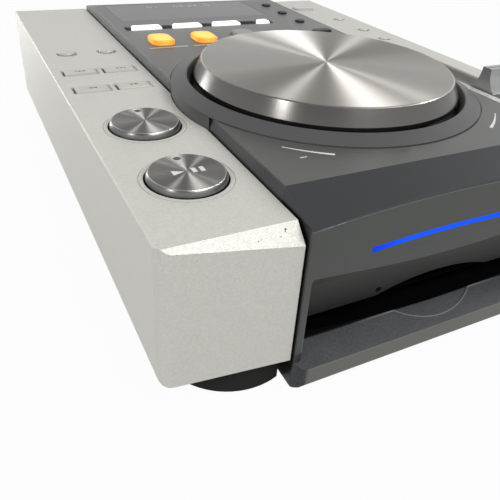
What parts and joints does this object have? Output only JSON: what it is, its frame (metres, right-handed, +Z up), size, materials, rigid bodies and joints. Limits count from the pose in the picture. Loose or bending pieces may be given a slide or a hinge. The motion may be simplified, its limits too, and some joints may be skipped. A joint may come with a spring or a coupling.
{
  "type": "tabletop dj cd player",
  "caption": "Low tabletop slot-loading disc player: dark centre body with a large jog dial and lit keys between two silver side modules with transport keys and a tempo slider.",
  "frame": {"origin": "middle of the whole footprint, at the feet's undersides", "axes": "+Z up, +Y from the disc slot towards the rear sockets, +X to the right of someone facing the slot"},
  "size_m": [0.2178, 0.2962, 0.0825],
  "materials": {
    "silver_paint": "satin warm-grey silver paint with fine sparkle, worn at the edges",
    "gunmetal_paint": "satin dark grey paint",
    "gloss_black": "gloss",
    "blue_light": "lit blue",
    "felt": "felt",
    "black_steel": "satin black paint",
    "foot_rubber": "matte",
    "bright_steel": "zinc plated",
    "spun_metal": "circularly brushed, smoky",
    "bronze": "sintered",
    "black_plastic": "satin",
    "silver_key": "silver painted, smooth",
    "white_lit_key": "lit white",
    "amber_lit_key": "lit amber",
    "dark_window": "gloss",
    "gold_jack": "gold plated",
    "circuit_board": "solder resist",
    "black_rubber": "matte"
  },
  "bodies": {
    "housing": {"bottom_case": "black_steel", "left_side_cover": "silver_paint", "right_side_cover": "silver_paint", "top_panel": "gunmetal_paint", "front_fascia": "gunmetal_paint", "slot_cowl": "gloss_black", "light_strip": "blue_light", "slot_felt": "felt", "rear_panel": "black_steel", "feet": "foot_rubber", "case_screws": "bright_steel", "jog_ring": "gunmetal_paint", "jog_bearing": "bronze", "tempo_fader": "black_plastic", "display_window": "dark_window", "display_module": "black_plastic", "audio_jacks": "gold_jack", "digital_jack": "gold_jack", "control_jack": "black_plastic", "ac_inlet": "black_plastic", "power_switch_body": "black_plastic", "main_board": "circuit_board", "power_supply": "circuit_board", "key_boards": "circuit_board", "drive_chassis": "bright_steel", "spindle_motor": "bright_steel"},
    "jog": {"jog_dial": "spun_metal", "jog_spindle": "bright_steel", "jog_encoder_disc": "black_plastic"},
    "tempo_slider": {"tempo_slider_knob": "silver_key", "tempo_slider_stem": "bright_steel"},
    "rocker": {"power_switch_rocker": "black_plastic"},
    "disc_hub": {"turntable": "black_plastic"},
    "pickup": {"optical_pickup": "black_plastic"},
    "lead_screw": {"feed_screw": "bright_steel"},
    "roller": {"loading_roller": "black_rubber"},
    "clamp": {"clamp_arm": "bright_steel"},
    "cue_button": {"cue_button": "spun_metal"},
    "play_button": {"play_button": "spun_metal"},
    "folder_back_button": {"folder_back_button": "silver_key"},
    "folder_next_button": {"folder_next_button": "silver_key"},
    "track_back_button": {"track_back_button": "silver_key"},
    "track_next_button": {"track_next_button": "silver_key"},
    "search_back_button": {"search_back_button": "silver_key"},
    "search_next_button": {"search_next_button": "silver_key"},
    "effect_a_button": {"effect_a_button": "white_lit_key"},
    "effect_b_button": {"effect_b_button": "white_lit_key"},
    "effect_c_button": {"effect_c_button": "white_lit_key"},
    "hold_button": {"hold_button": "white_lit_key"},
    "loop_in_button": {"loop_in_button": "amber_lit_key"},
    "loop_out_button": {"loop_out_button": "amber_lit_key"},
    "reloop_button": {"reloop_button": "amber_lit_key"},
    "round_button_rear": {"round_button_rear": "black_plastic"},
    "round_button_mid": {"round_button_mid": "black_plastic"},
    "round_button_front": {"round_button_front": "black_plastic"},
    "mode_button": {"mode_button": "black_plastic"},
    "eject_button": {"eject_button": "silver_key"},
    "time_button": {"time_button": "silver_key"},
    "tempo_range_button": {"tempo_range_button": "silver_key"},
    "master_tempo_button": {"master_tempo_button": "silver_key"}
  },
  "joints": [
    {"name": "jog_turn", "type": "hinge", "parent": "housing", "child": "jog", "pos_m": [0, -0.04785, 0.075], "axis": [0, 0, 1], "continuous": true},
    {"name": "tempo_slide", "type": "slide", "parent": "housing", "child": "tempo_slider", "axis": [0, 1, 0], "range_m": [-0.0375, 0.0625]},
    {"name": "power_rocker_tilt", "type": "hinge", "parent": "housing", "child": "rocker", "pos_m": [-0.027, 0.13845, 0.04], "axis": [1, 0, 0], "range_deg": [-16, 0]},
    {"name": "disc_hub_spin", "type": "hinge", "parent": "housing", "child": "disc_hub", "pos_m": [0, -0.062, 0.018], "axis": [0, 0, 1], "continuous": true},
    {"name": "pickup_travel", "type": "slide", "parent": "housing", "child": "pickup", "axis": [0, 1, 0], "range_m": [-0.0035, 0.0265]},
    {"name": "lead_screw_spin", "type": "hinge", "parent": "housing", "child": "lead_screw", "pos_m": [0.023, -0.02, 0.016], "axis": [0, 1, 0], "continuous": true},
    {"name": "roller_spin", "type": "hinge", "parent": "housing", "child": "roller", "pos_m": [0, -0.112, 0.017], "axis": [1, 0, 0], "continuous": true},
    {"name": "clamp_lift", "type": "hinge", "parent": "housing", "child": "clamp", "pos_m": [0, 0.002, 0.036], "axis": [1, 0, 0], "range_deg": [-6, 0]},
    {"name": "cue_press", "type": "slide", "parent": "housing", "child": "cue_button", "axis": [0, 0, -1], "range_m": [0, 0.0008], "stiffness_N_per_m": 600, "springref_m": -0.001},
    {"name": "play_press", "type": "slide", "parent": "housing", "child": "play_button", "axis": [0, 0, -1], "range_m": [0, 0.0008], "stiffness_N_per_m": 600, "springref_m": -0.001},
    {"name": "folder_back_press", "type": "slide", "parent": "housing", "child": "folder_back_button", "axis": [0, 0, -1], "range_m": [0, 0.0008], "stiffness_N_per_m": 400, "springref_m": -0.001},
    {"name": "folder_next_press", "type": "slide", "parent": "housing", "child": "folder_next_button", "axis": [0, 0, -1], "range_m": [0, 0.0008], "stiffness_N_per_m": 400, "springref_m": -0.001},
    {"name": "track_back_press", "type": "slide", "parent": "housing", "child": "track_back_button", "axis": [0, 0, -1], "range_m": [0, 0.0008], "stiffness_N_per_m": 400, "springref_m": -0.001},
    {"name": "track_next_press", "type": "slide", "parent": "housing", "child": "track_next_button", "axis": [0, 0, -1], "range_m": [0, 0.0008], "stiffness_N_per_m": 400, "springref_m": -0.001},
    {"name": "search_back_press", "type": "slide", "parent": "housing", "child": "search_back_button", "axis": [0, 0, -1], "range_m": [0, 0.0008], "stiffness_N_per_m": 400, "springref_m": -0.001},
    {"name": "search_next_press", "type": "slide", "parent": "housing", "child": "search_next_button", "axis": [0, 0, -1], "range_m": [0, 0.0008], "stiffness_N_per_m": 400, "springref_m": -0.001},
    {"name": "effect_a_press", "type": "slide", "parent": "housing", "child": "effect_a_button", "axis": [0, 0, -1], "range_m": [0, 0.0008], "stiffness_N_per_m": 400, "springref_m": -0.001},
    {"name": "effect_b_press", "type": "slide", "parent": "housing", "child": "effect_b_button", "axis": [0, 0, -1], "range_m": [0, 0.0008], "stiffness_N_per_m": 400, "springref_m": -0.001},
    {"name": "effect_c_press", "type": "slide", "parent": "housing", "child": "effect_c_button", "axis": [0, 0, -1], "range_m": [0, 0.0008], "stiffness_N_per_m": 400, "springref_m": -0.001},
    {"name": "hold_press", "type": "slide", "parent": "housing", "child": "hold_button", "axis": [0, 0, -1], "range_m": [0, 0.0008], "stiffness_N_per_m": 400, "springref_m": -0.001},
    {"name": "loop_in_press", "type": "slide", "parent": "housing", "child": "loop_in_button", "axis": [0, 0, -1], "range_m": [0, 0.0008], "stiffness_N_per_m": 400, "springref_m": -0.001},
    {"name": "loop_out_press", "type": "slide", "parent": "housing", "child": "loop_out_button", "axis": [0, 0, -1], "range_m": [0, 0.0008], "stiffness_N_per_m": 400, "springref_m": -0.001},
    {"name": "reloop_press", "type": "slide", "parent": "housing", "child": "reloop_button", "axis": [0, 0, -1], "range_m": [0, 0.0008], "stiffness_N_per_m": 400, "springref_m": -0.001},
    {"name": "round_rear_press", "type": "slide", "parent": "housing", "child": "round_button_rear", "axis": [0, 0, -1], "range_m": [0, 0.0008], "stiffness_N_per_m": 400, "springref_m": -0.001},
    {"name": "round_mid_press", "type": "slide", "parent": "housing", "child": "round_button_mid", "axis": [0, 0, -1], "range_m": [0, 0.0008], "stiffness_N_per_m": 400, "springref_m": -0.001},
    {"name": "round_front_press", "type": "slide", "parent": "housing", "child": "round_button_front", "axis": [0, 0, -1], "range_m": [0, 0.0008], "stiffness_N_per_m": 400, "springref_m": -0.001},
    {"name": "mode_press", "type": "slide", "parent": "housing", "child": "mode_button", "axis": [0, 0, -1], "range_m": [0, 0.0008], "stiffness_N_per_m": 400, "springref_m": -0.001},
    {"name": "eject_press", "type": "slide", "parent": "housing", "child": "eject_button", "axis": [0, 0, -1], "range_m": [0, 0.0008], "stiffness_N_per_m": 400, "springref_m": -0.001},
    {"name": "time_press", "type": "slide", "parent": "housing", "child": "time_button", "axis": [0, 0, -1], "range_m": [0, 0.0008], "stiffness_N_per_m": 400, "springref_m": -0.001},
    {"name": "tempo_range_press", "type": "slide", "parent": "housing", "child": "tempo_range_button", "axis": [0, 0, -1], "range_m": [0, 0.0008], "stiffness_N_per_m": 400, "springref_m": -0.001},
    {"name": "master_tempo_press", "type": "slide", "parent": "housing", "child": "master_tempo_button", "axis": [0, 0, -1], "range_m": [0, 0.0008], "stiffness_N_per_m": 400, "springref_m": -0.001}
  ],
  "couplings": [
    {"joint": "lead_screw_spin", "follows": "pickup_travel", "rad_per_m": 2094.4}
  ]
}
